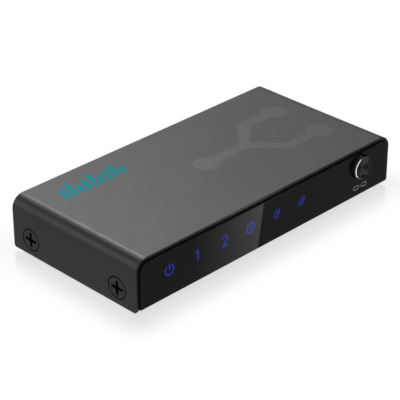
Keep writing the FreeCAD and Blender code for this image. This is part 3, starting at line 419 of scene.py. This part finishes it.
# %% Finish the board
board_green = start_finish("lacquered_board", (0.010, 0.075, 0.032), 0.3)
tree = board_green.node_tree
tracks = add(tree, "TexBrick", {"Vector": surface_mm(tree), "Scale": 0.22, "Mortar Size": 0.05,
                                "Brick Width": 1.6, "Row Height": 0.5}, out="Fac")
weave = add(tree, "TexWave", {"Vector": surface_mm(tree), "Scale": 0.5, "Distortion": 0.6}, out="Fac")
shade = maths(tree, "ADD", maths(tree, "MULTIPLY", tracks, 0.75),
              maths(tree, "MULTIPLY", weave, 0.25))
feed(board_green, "Base Color", mix_colours(tree, shade, (0.009, 0.066, 0.028), (0.016, 0.13, 0.05)))
raised = add(tree, "Bump", {"Height": tracks, "Distance": 0.02 * MM}, out="Normal")
feed(board_green, "Normal", raised)
put_on(board_green, "main_board")

# %% [markdown]
# The small parts are hidden by the box, so each has one plain finish with its own mottle and grain.

# %% Finish posts, chips and the small parts
brass = give_mottle(start_finish("milled_brass", (0.60, 0.44, 0.18), 0.3, 1.0), (0.5, 0.35, 0.14), 1.0)
put_on(give_grain(brass, 0.1, 0.001, 1.0, (1, 1, 0.1)), "board_standoffs")

tinned = give_mottle(start_finish("tinned_steel", (0.5, 0.5, 0.49), 0.34, 1.0), (0.42, 0.42, 0.41), 0.8)
put_on(give_patches(tinned, 0.46, 0.8), "switch_bracket")

package_black = start_finish("chip_package", (0.018, 0.018, 0.019), 0.5)
give_grain(give_mottle(package_black, (0.026, 0.026, 0.027), 0.5), 0.07, 0.003)
put_on(package_black, "splitter_chip", "regulator", "memory_chip_1", "memory_chip_2",
       "memory_chip_3", "power_inductor")

sink_metal = start_finish("extruded_aluminium", (0.60, 0.60, 0.615), 0.36, 1.0)
give_mottle(sink_metal, (0.53, 0.53, 0.545), 1.0, (1, 0.08, 1))
put_on(give_grain(sink_metal, 0.1, 0.0015, 1.0, (1, 0.04, 1)), "heat_sink", "capacitors")

pad_soft = give_mottle(start_finish("soft_pad", (0.24, 0.27, 0.29), 0.75), (0.30, 0.33, 0.35), 0.9)
put_on(give_grain(pad_soft, 0.2, 0.006), "thermal_pad")

plunger_white = give_mottle(start_finish("white_moulding", (0.66, 0.66, 0.62), 0.4),
                            (0.60, 0.60, 0.56), 1.2)
put_on(give_grain(plunger_white, 0.2, 0.002), "switch_plunger")

lens_pale = give_mottle(start_finish("pale_lens", (0.72, 0.73, 0.62), 0.2), (0.78, 0.70, 0.38), 0.4)
put_on(lens_pale, "status_leds")

guide_clear = start_finish("clear_guide", (0.86, 0.90, 0.95), 0.12, IOR=1.49,
                           Transmission_Weight=0.85)
put_on(give_patches(guide_clear, 0.22, 0.9), "light_guide")

# %% [markdown]
# ## Lit symbols
# Six small symbols glow blue through the panel. Each is a thin plate, let into the plastic and a few
# hundredths of a millimetre proud of it. They are drawn from two strokes: a straight bar with round
# ends, and a part of a ring. The bar is a cube whose upright edges are bevelled. The ring is a small
# rectangle that is spun about the symbol's centre.

# %% Strokes for the symbols
panel_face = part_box("front_panel")[0].y / MM
plate_proud, plate_sunk = 0.03, 0.05


def bar_stroke(mesh, start, end, width):
    """A straight bar with round ends between two points of the panel, in millimetres."""
    run = Vector((end[0] - start[0], 0, end[1] - start[1]))
    made = bmesh.ops.create_cube(mesh, size=1)["verts"]
    size = (run.length + width, plate_proud + plate_sunk, width)
    bmesh.ops.scale(mesh, vec=size, verts=made)
    upright = {edge for corner in made for edge in corner.link_edges
               if abs(edge.verts[0].co.y - edge.verts[1].co.y) > 1e-4}
    bevelled = bmesh.ops.bevel(mesh, geom=list(upright), offset=width * 0.49, segments=4,
                               profile=0.5, affect="EDGES", material=-1)
    corners = set(bevelled["verts"]) | {corner for corner in made if corner.is_valid}
    turn = Matrix.Rotation(-math.atan2(run.z, run.x), 3, "Y")
    bmesh.ops.rotate(mesh, verts=list(corners), cent=(0, 0, 0), matrix=turn)
    middle = ((start[0] + end[0]) / 2, panel_face + (plate_sunk - plate_proud) / 2,
              (start[1] + end[1]) / 2)
    bmesh.ops.translate(mesh, verts=list(corners), vec=middle)


def ring_stroke(mesh, centre, radius, width, start=0.0, sweep=360.0):
    """A ring, or the part of one that starts at an angle and sweeps on, anticlockwise in degrees."""
    near, far = panel_face - plate_proud, panel_face + plate_sunk
    outline = [(radius - width / 2, near), (radius + width / 2, near),
               (radius + width / 2, far), (radius - width / 2, far)]
    corners = [mesh.verts.new((across, deep, 0)) for across, deep in outline]
    section = mesh.faces.new(corners)
    axis = Matrix.Rotation(math.radians(-start), 3, "Y")
    bmesh.ops.rotate(mesh, verts=corners, cent=(0, 0, 0), matrix=axis)
    bmesh.ops.translate(mesh, verts=corners, vec=(centre[0], 0, centre[1]))
    geometry = [section, *section.edges, *corners]
    steps = max(6, round(sweep / 8))
    if sweep == 360.0:
        edges = list(section.edges)
        mesh.faces.remove(section)
        geometry = [*edges, *corners]
    bmesh.ops.spin(mesh, geom=geometry, cent=(centre[0], 0, centre[1]), axis=(0, -1, 0),
                   angle=math.radians(sweep), steps=steps, use_merge=sweep == 360.0)


def finished_piece(mesh, name, finish, body="housing"):
    """Turn a bmesh in millimetres into an object in metres that rides on a body."""
    bmesh.ops.remove_doubles(mesh, verts=mesh.verts, dist=0.0005)
    bmesh.ops.recalc_face_normals(mesh, faces=mesh.faces)
    bmesh.ops.scale(mesh, vec=(MM, MM, MM), verts=mesh.verts)
    data = bpy.data.meshes.new(name)
    mesh.to_mesh(data)
    mesh.free()
    data.materials.append(finish)
    piece = bpy.data.objects.new(name, data)
    bpy.context.scene.collection.objects.link(piece)
    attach(piece, body)
    print(name, len(data.polygons), "faces")


print("strokes are", round(plate_proud + plate_sunk, 2), "mm thick")

# %% [markdown]
# The glow is plain emission over a dark blue base. It is a little brighter in the middle of a stroke
# pattern than at its ends, because a light pipe stands behind each symbol's centre.

# %% The blue glow
icon_left, icon_pitch, icon_level = -46.6, 12.2, 11.5
symbol_blue = start_finish("lit_blue", (0.01, 0.012, 0.10), 0.12, Emission_Strength=1.0)
tree = symbol_blue.node_tree
axes = axes_mm(tree)
steps = maths(tree, "DIVIDE", maths(tree, "SUBTRACT", axes["X"], icon_left - icon_pitch / 2),
              icon_pitch)
across = maths(tree, "MULTIPLY", maths(tree, "SUBTRACT", maths(tree, "FRACT", steps), 0.5),
               icon_pitch)
away = length_of(tree, across, maths(tree, "SUBTRACT", axes["Z"], icon_level))
glow = mix_colours(tree, ramp(tree, away, 0.5, 3.2), (0.012, 0.017, 0.24), (0.008, 0.011, 0.16))
feed(symbol_blue, "Emission Color", glow)


def icon_place(index):
    """Where a symbol's centre is on the panel."""
    return icon_left + icon_pitch * index, icon_level


print("symbols stand at", [round(icon_place(index)[0], 1) for index in range(6)])

# %% [markdown]
# The figures and the outlines are used more than once, in two sizes, so they are functions.

# %% Figures and outlines made of strokes
def draw_one(mesh, centre, size, width):
    """The figure 1, with a size of one for a figure 3.8 mm tall."""
    x, z = centre
    top, foot = (x + 0.3 * size, z + 1.9 * size), (x + 0.3 * size, z - 1.9 * size)
    bar_stroke(mesh, foot, top, width)
    bar_stroke(mesh, top, (x - 0.7 * size, z + 1.1 * size), width)


def draw_two(mesh, centre, size, width):
    """The figure 2 at the same scale."""
    x, z = centre
    foot = (x - 1.1 * size, z - 1.9 * size)
    ring_stroke(mesh, (x, z + 0.85 * size), 1.05 * size, width, -40, 210)
    bar_stroke(mesh, (x + 0.8 * size, z + 0.2 * size), foot, width)
    bar_stroke(mesh, foot, (x + 1.2 * size, foot[1]), width)


def draw_outline(mesh, centre, half_width, half_height, width):
    """Four bars round a rectangle."""
    x, z = centre
    corners = [(x - half_width, z - half_height), (x + half_width, z - half_height),
               (x + half_width, z + half_height), (x - half_width, z + half_height)]
    for index in range(4):
        bar_stroke(mesh, corners[index], corners[(index + 1) % 4], width)


print("figures and outlines are ready")

# %% [markdown]
# The symbols from left to right: power, 1, 2, a ring with two strokes, a square in front of another,
# and two squares that are linked.

# %% The six symbols
stroke, fine_stroke, finest_stroke = 0.56, 0.42, 0.38

mesh = bmesh.new()
x, z = icon_place(0)
ring_stroke(mesh, (x, z), 1.75, stroke, 120, 300)
bar_stroke(mesh, (x, z + 0.2), (x, z + 2.1), stroke)
finished_piece(mesh, "symbol_power", symbol_blue)

for index, name, draw in ((1, "symbol_one", draw_one), (2, "symbol_two", draw_two)):
    mesh = bmesh.new()
    draw(mesh, icon_place(index), 1.0, stroke)
    finished_piece(mesh, name, symbol_blue)

mesh = bmesh.new()
x, z = icon_place(3)
x -= 0.3
ring_stroke(mesh, (x, z), 1.85, stroke)
for shift in (-0.5, 0.5):
    bar_stroke(mesh, (x + shift - 0.2, z - 0.8), (x + shift + 0.2, z + 0.8), finest_stroke)
finished_piece(mesh, "symbol_ring", symbol_blue)

mesh = bmesh.new()
x, z = icon_place(4)
draw_outline(mesh, (x - 0.4, z - 0.4), 0.9, 0.9, fine_stroke)
bar_stroke(mesh, (x - 0.4, z + 1.25), (x + 1.25, z + 1.25), fine_stroke)
bar_stroke(mesh, (x + 1.25, z + 1.25), (x + 1.25, z - 0.4), fine_stroke)
finished_piece(mesh, "symbol_overlap", symbol_blue)

mesh = bmesh.new()
x, z = icon_place(5)
for shift in (-0.7, 0.7):
    draw_outline(mesh, (x + shift, z + shift), 0.6, 0.6, finest_stroke)
bar_stroke(mesh, (x - 0.7, z + 0.5), (x - 0.7, z + 1.1), finest_stroke)
bar_stroke(mesh, (x + 0.7, z - 0.5), (x + 0.7, z - 1.1), finest_stroke)
finished_piece(mesh, "symbol_linked", symbol_blue)

# %% [markdown]
# A small pale mark under the button says what it chooses between: two screens. It is printed, so it
# doesn't glow.

# %% The mark under the button
print_pale = give_mottle(start_finish("pale_print", (0.42, 0.42, 0.42), 0.5), (0.32, 0.32, 0.32), 0.4)
mesh = bmesh.new()
level, middle, thin_line = 5.3, button_axis[0] + 0.5, 0.26
for shift in (-2.15, 2.15):
    draw_outline(mesh, (middle + shift, level), 1.15, 0.7, thin_line)
bar_stroke(mesh, (middle - 0.45, level), (middle + 0.45, level), thin_line)
finished_piece(mesh, "mark_two_screens", print_pale)

# %% [markdown]
# The rear wall has the same kind of prints over its sockets: an arrow into the box over the input,
# the figures 1 and 2 over the outputs, and the line over dashes that stands for direct current beside
# the power jack. They are drawn like the others and then turned half round to the rear wall.

# %% The marks on the rear wall
rear_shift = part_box("base_chassis")[1].y / MM + panel_face
mark_level, mark_line = 15.7, 0.28


def turn_to_rear(mesh):
    """Take marks from the panel's face to the rear wall's outer face."""
    bmesh.ops.rotate(mesh, verts=mesh.verts, cent=(0, 0, 0), matrix=Matrix.Rotation(math.pi, 3, "Z"))
    bmesh.ops.translate(mesh, verts=mesh.verts, vec=(0, rear_shift, 0))


def socket_middle(name):
    """A socket's middle as seen on the drawing, where left and right are swapped."""
    low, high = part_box(name)
    return -(low.x + high.x) / 2 / MM


mesh = bmesh.new()
x = socket_middle("socket_in_shell")
bar_stroke(mesh, (x - 1.5, mark_level), (x + 0.9, mark_level), mark_line)
for side in (-0.7, 0.7):
    bar_stroke(mesh, (x + 0.2, mark_level + side), (x + 0.9, mark_level), mark_line)
bar_stroke(mesh, (x + 1.6, mark_level - 0.9), (x + 1.6, mark_level + 0.9), mark_line)
turn_to_rear(mesh)
finished_piece(mesh, "mark_input", print_pale)

for name, socket, draw in (("mark_output_one", "socket_out_1_shell", draw_one),
                           ("mark_output_two", "socket_out_2_shell", draw_two)):
    mesh = bmesh.new()
    draw(mesh, (socket_middle(socket), mark_level), 0.5, mark_line)
    turn_to_rear(mesh)
    finished_piece(mesh, name, print_pale)

mesh = bmesh.new()
x, z = socket_middle("jack_housing") - 7.5, 11.4
bar_stroke(mesh, (x - 1.2, z + 0.4), (x + 1.2, z + 0.4), thin_line)
for shift in (-0.95, 0, 0.95):
    bar_stroke(mesh, (x + shift - 0.2, z - 0.4), (x + shift + 0.2, z - 0.4), thin_line)
turn_to_rear(mesh)
finished_piece(mesh, "mark_direct_current", print_pale)

# %% [markdown]
# ## The studio
# The camera stands in front and to the left, well above the box, with a long lens. Its place comes
# from the angles of the box's edges in the photograph.

# %% The camera
camera_data = bpy.data.cameras.new("studio_camera")
camera_data.lens, camera_data.sensor_width = 148.3, 36.0
camera_data.clip_start, camera_data.clip_end = 0.01, 20.0
camera = bpy.data.objects.new("studio_camera", camera_data)
bpy.context.scene.collection.objects.link(camera)
camera.location = Vector((-345.37, -338.42, 277.54)) * MM
target = Vector((4.326, 8.604, 1.0)) * MM
camera.rotation_mode = "QUATERNION"
camera.rotation_quaternion = (target - camera.location).to_track_quat("-Z", "Y")
bpy.context.scene.camera = camera
bpy.context.scene.view_settings.view_transform = "Standard"
print("camera stands", round((target - camera.location).length, 3), "m away")

# %% [markdown]
# The floor is a white sweep. To the eye it is white with a weak mirror close to the box, which fades
# within about a centimetre, and a little of it is matt, so that it takes the box's shadow. Polished
# faces see it white too. For the light that it throws back it is a plain grey. From below it is clear,
# so that the tray and the feet can be looked at.

# %% The floor
def staged_grid(name, centre, size, finish):
    """A flat rectangle of the studio, in millimetres, lying level."""
    mesh = bmesh.new()
    bmesh.ops.create_grid(mesh, x_segments=1, y_segments=1, size=0.5 * MM)
    bmesh.ops.scale(mesh, vec=(size[0], size[1], 1), verts=mesh.verts)
    bmesh.ops.translate(mesh, vec=Vector(centre) * MM, verts=mesh.verts)
    data = bpy.data.meshes.new(name)
    mesh.to_mesh(data)
    mesh.free()
    data.materials.append(finish)
    laid = bpy.data.objects.new(name, data)
    bpy.context.scene.collection.objects.link(laid)
    return laid


def empty_finish(name):
    """A finish of the studio, with nothing in it but its output."""
    finish = bpy.data.materials.new(name)
    finish.use_nodes = True
    finish.node_tree.nodes.remove(shader_of(finish))
    return finish, finish.node_tree


def glowing(tree, strength):
    """Plain white light."""
    return add(tree, "Emission", {"Color": (1, 1, 1, 1), "Strength": strength})


def see_through(tree):
    """Nothing at all: what lies behind shows unchanged."""
    return add(tree, "BsdfTransparent", {"Color": (1, 1, 1, 1)})


def end_with(tree, surface):
    """Let a finish of the studio end with this surface."""
    tree.links.new(surface, tree.nodes["Material Output"].inputs["Surface"])


def beyond(tree, value, middle, half):
    """How far a coordinate is outside a stretch about a middle."""
    off = maths(tree, "ABSOLUTE", maths(tree, "SUBTRACT", value, middle))
    return maths(tree, "MAXIMUM", maths(tree, "SUBTRACT", off, half), 0.0)


floor_white, tree = empty_finish("floor_white")
axes = axes_mm(tree)
middle, half_depth, mirror_share, matt_share = 1.0, 29.6, 0.27, 0.07
away = length_of(tree, beyond(tree, axes["X"], 0.0, box_side),
                 beyond(tree, axes["Y"], middle, half_depth))
white = glowing(tree, 1.0)
mirror = add(tree, "BsdfGlossy", {"Color": (1, 1, 1, 1), "Roughness": 0.12})
matt = add(tree, "BsdfDiffuse", {"Color": (0.9, 0.9, 0.9, 1)})
seen = add(tree, "MixShader", (ramp(tree, away, -2.0, 13.0, mirror_share, 0.0), white, mirror))
seen = add(tree, "MixShader", (ramp(tree, away, 2.0, 18.0, matt_share, 0.0), seen, matt))
grey = add(tree, "BsdfDiffuse", {"Color": (0.35, 0.35, 0.35, 1)})
path = add(tree, "LightPath").node.outputs
polished = maths(tree, "MAXIMUM", path["Is Glossy Ray"], path["Is Transmission Ray"])
others = add(tree, "MixShader", (polished, grey, white))
final = add(tree, "MixShader", (path["Is Camera Ray"], others, seen))
below = add(tree, "NewGeometry", out="Backfacing")
end_with(tree, add(tree, "MixShader", (below, final, see_through(tree))))
staged_grid("floor", (0, 0, -0.02), (6000, 6000), floor_white)
print("floor is laid")

# %% [markdown]
# Shiny things are photographed with black card round them, because they show whatever stands there.
# Two grey flags lie on the floor, one in front of the panel and one on the left. Each gives light from
# its upper side only. The camera doesn't see them, but polished faces do. The front one has an opening
# with a slanted edge, and that makes the pale patch on the left half of the panel. The panel shows the
# floor in front of it, so the patch is drawn by following that line from the panel to the floor.
# On the right lies a card that is bright near the front corner and fades toward the rear. The right
# bend shows it as a pale line that fades the same way.

# %% The flags on the floor
def hide_from_eye(thing):
    """Let only polished faces see a piece of the studio."""
    thing.visible_camera = False
    thing.visible_diffuse = False
    thing.visible_shadow = False
    thing.visible_volume_scatter = False


def show_upward(tree, strength):
    """Light from the upper side of a card only, so that the floor under it still mirrors the box."""
    behind = add(tree, "NewGeometry", out="Backfacing")
    end_with(tree, add(tree, "MixShader", (behind, glowing(tree, strength), see_through(tree))))


flag_level, left_level, patch_level = 0.18, 0.24, 0.66
floor_slope, floor_drift = 1.158, 1.269
border_foot, border_lean = -6.97, 0.157
flag_front, tree = empty_finish("front_flag")
axes = axes_mm(tree)
ahead = maths(tree, "SUBTRACT", panel_face, axes["Y"])
height = maths(tree, "DIVIDE", ahead, floor_slope)
panel_x = maths(tree, "SUBTRACT", axes["X"], maths(tree, "MULTIPLY", height, floor_drift))
border = maths(tree, "ADD", border_foot, maths(tree, "MULTIPLY", height, border_lean))
into = maths(tree, "SUBTRACT", border, panel_x)
fading = maths(tree, "POWER", ramp(tree, into, 0.0, 35.0, 1.0, 0.0, soft=False), 1.5)
fading = maths(tree, "MULTIPLY", fading, patch_level)
opening = maths(tree, "MULTIPLY", ramp(tree, into, -0.1, 0.1), fading)
opening = maths(tree, "MULTIPLY", opening, ramp(tree, height, 0.0, 17.0, 0.7, 1.08, soft=False))
show_upward(tree, maths(tree, "ADD", opening, flag_level))
front_flag = staged_grid("front_flag", (65, panel_face - 45, 0.3), (250, 90), flag_front)

flag_grey, tree = empty_finish("left_flag")
show_upward(tree, left_level)
left_flag = staged_grid("left_flag", (-660.5, 0, 0.2), (1200, 2400), flag_grey)

card_right, tree = empty_finish("right_card")
axes = axes_mm(tree)
bend_start, bend_skew = 58.5, 0.82
drift = maths(tree, "MULTIPLY", maths(tree, "SUBTRACT", axes["X"], bend_start), bend_skew)
along = maths(tree, "SUBTRACT", axes["Y"], drift)
fading = ramp(tree, along, -22.0, 30.0, 2.3, 0.55, soft=False)
show_upward(tree, maths(tree, "MULTIPLY", fading, ramp(tree, along, -34.0, -29.0, 0.02, 1.0)))
right_card = staged_grid("right_card", (360.5, 150, 0.2), (600, 898), card_right)
for card in (front_flag, left_flag, right_card):
    hide_from_eye(card)
print("two flags and a card lie on the floor")

# %% [markdown]
# Over the box hangs a grey tent with soft boxes let into it. Metal paint shows them as soft stripes.
# A small bright one with a wide pale rim hangs behind and to the right: it lights the top and the start
# of the left bend. A faint one behind and to the left makes the second stripe on the bend.

# %% The tent
tent_grey, tree = empty_finish("studio_tent")
toward = add(tree, "VectorMath", (add(tree, "TexCoord", out="Object"),), operation="NORMALIZE")


def soft_box(direction, inner, outer, strength):
    """A soft round light in the tent: full up to one angle, gone at the other, in degrees."""
    aim = Vector(direction).normalized()
    facing = add(tree, "VectorMath", (toward, aim), out="Value", operation="DOT_PRODUCT")
    edges = [math.cos(math.radians(angle)) for angle in (outer, inner)]
    return ramp(tree, facing, *edges, 0.0, strength)


tent_level = 0.18
soft_boxes = (
    ((0.41, 0.61, 0.68), 2, 10, 2.9),
    ((0.41, 0.61, 0.68), 2, 36, 0.585),
    ((-0.68, 0.61, 0.40), 3, 26, 0.32),
)
light = tent_level
for box in soft_boxes:
    light = maths(tree, "ADD", light, soft_box(*box))
end_with(tree, glowing(tree, light))

tent_radius = 2.4
mesh = bmesh.new()
bmesh.ops.create_icosphere(mesh, subdivisions=4, radius=tent_radius)
below = [corner for corner in mesh.verts if corner.co.z < -0.05]
bmesh.ops.delete(mesh, geom=below, context="VERTS")
tent_mesh = bpy.data.meshes.new("studio_tent")
mesh.to_mesh(tent_mesh)
mesh.free()
tent_mesh.materials.append(tent_grey)
tent = bpy.data.objects.new("studio_tent", tent_mesh)
bpy.context.scene.collection.objects.link(tent)
hide_from_eye(tent)
print("tent hangs with", len(soft_boxes), "soft boxes")

# %% [markdown]
# Three small cards stand close to the button, and each shines from one side only. One low at its left
# and one higher in front light the cut bevel. Light linking lets them light the button alone, because
# the polished panel would mirror them as soon as the eye moves to the right. A dark one on the right
# keeps the far half of the bevel dark.

# %% The cards close by
button_only = bpy.data.collections.new("lit_by_cards")
for name in ("button_cap", "button_ring", "button_face"):
    button_only.objects.link(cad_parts[name])


def shine_forward(tree, strength):
    """Light from the front of a card, added to what lies behind it, so that the card hides nothing."""
    behind = add(tree, "NewGeometry", out="Backfacing")
    power = maths(tree, "MULTIPLY", maths(tree, "SUBTRACT", 1.0, behind), strength)
    end_with(tree, add(tree, "AddShader", (glowing(tree, power), see_through(tree))))


def stand_card(name, place, facing, size, strength, linked=True):
    """A card with its middle at a place, in millimetres, that shines toward where it faces."""
    finish, tree = empty_finish(name)
    card = staged_grid(name, (0, 0, 0), size, finish)
    if linked:
        shine_forward(tree, strength)
        card.light_linking.receiver_collection = button_only
    else:
        show_upward(tree, strength)
    card.rotation_mode = "QUATERNION"
    card.rotation_quaternion = Vector(facing).normalized().to_track_quat("Z", "Y")
    card.location = Vector(place) * MM
    hide_from_eye(card)
    print(name, "shines at", strength)


stand_card("bevel_card", (36.4, -35.6, 6.5), (0.75, -0.1, 0.65), (12, 19), 1.75)
stand_card("arc_card", (38, -48, 28), (0.8, 0.4, -0.45), (24, 44), 1.7)
stand_card("shade_card", (54, -35.5, 22.5), (-1, 0, 0), (10, 11), 0.07, linked=False)

# %% [markdown]
# The room outside the tent is white to the eye, to metal and to glass. For the light that it gives,
# it is a plain grey. One large lamp in front and above is the key light. Polished faces don't show it,
# because it would stand as a glint in a corner of the panel.

# %% The room and the lamp
world = bpy.data.worlds.new("studio_room")
bpy.context.scene.world = world
world.use_nodes = True
tree = world.node_tree
path = add(tree, "LightPath").node.outputs
seen = maths(tree, "MAXIMUM", path["Is Camera Ray"], path["Is Glossy Ray"])
seen = maths(tree, "MAXIMUM", seen, path["Is Transmission Ray"])
strength = ramp(tree, seen, 0.0, 1.0, 0.45, 1.0, soft=False)
background = tree.nodes["Background"]
background.inputs["Color"].default_value = (1, 1, 1, 1)
tree.links.new(strength, background.inputs["Strength"])


def soft_lamp(name, place, aim, size, radiance):
    """A rectangular soft lamp: its brightness is the radiance of its face."""
    data = bpy.data.lights.new(name, "AREA")
    data.shape = "RECTANGLE"
    data.size, data.size_y = size[0] * MM, size[1] * MM
    data.energy = radiance * math.pi * data.size * data.size_y
    lamp = bpy.data.objects.new(name, data)
    bpy.context.scene.collection.objects.link(lamp)
    lamp.location = Vector(place) * MM
    lamp.rotation_mode = "QUATERNION"
    lamp.rotation_quaternion = (Vector(aim) * MM - lamp.location).to_track_quat("-Z", "Y")
    lamp.visible_camera = False
    lamp.visible_glossy = False
    print(name, "gives", round(data.energy, 3), "W")


soft_lamp("key_lamp", (-320, -380, 760), (0, 0, 10), (520, 520), 4.6)
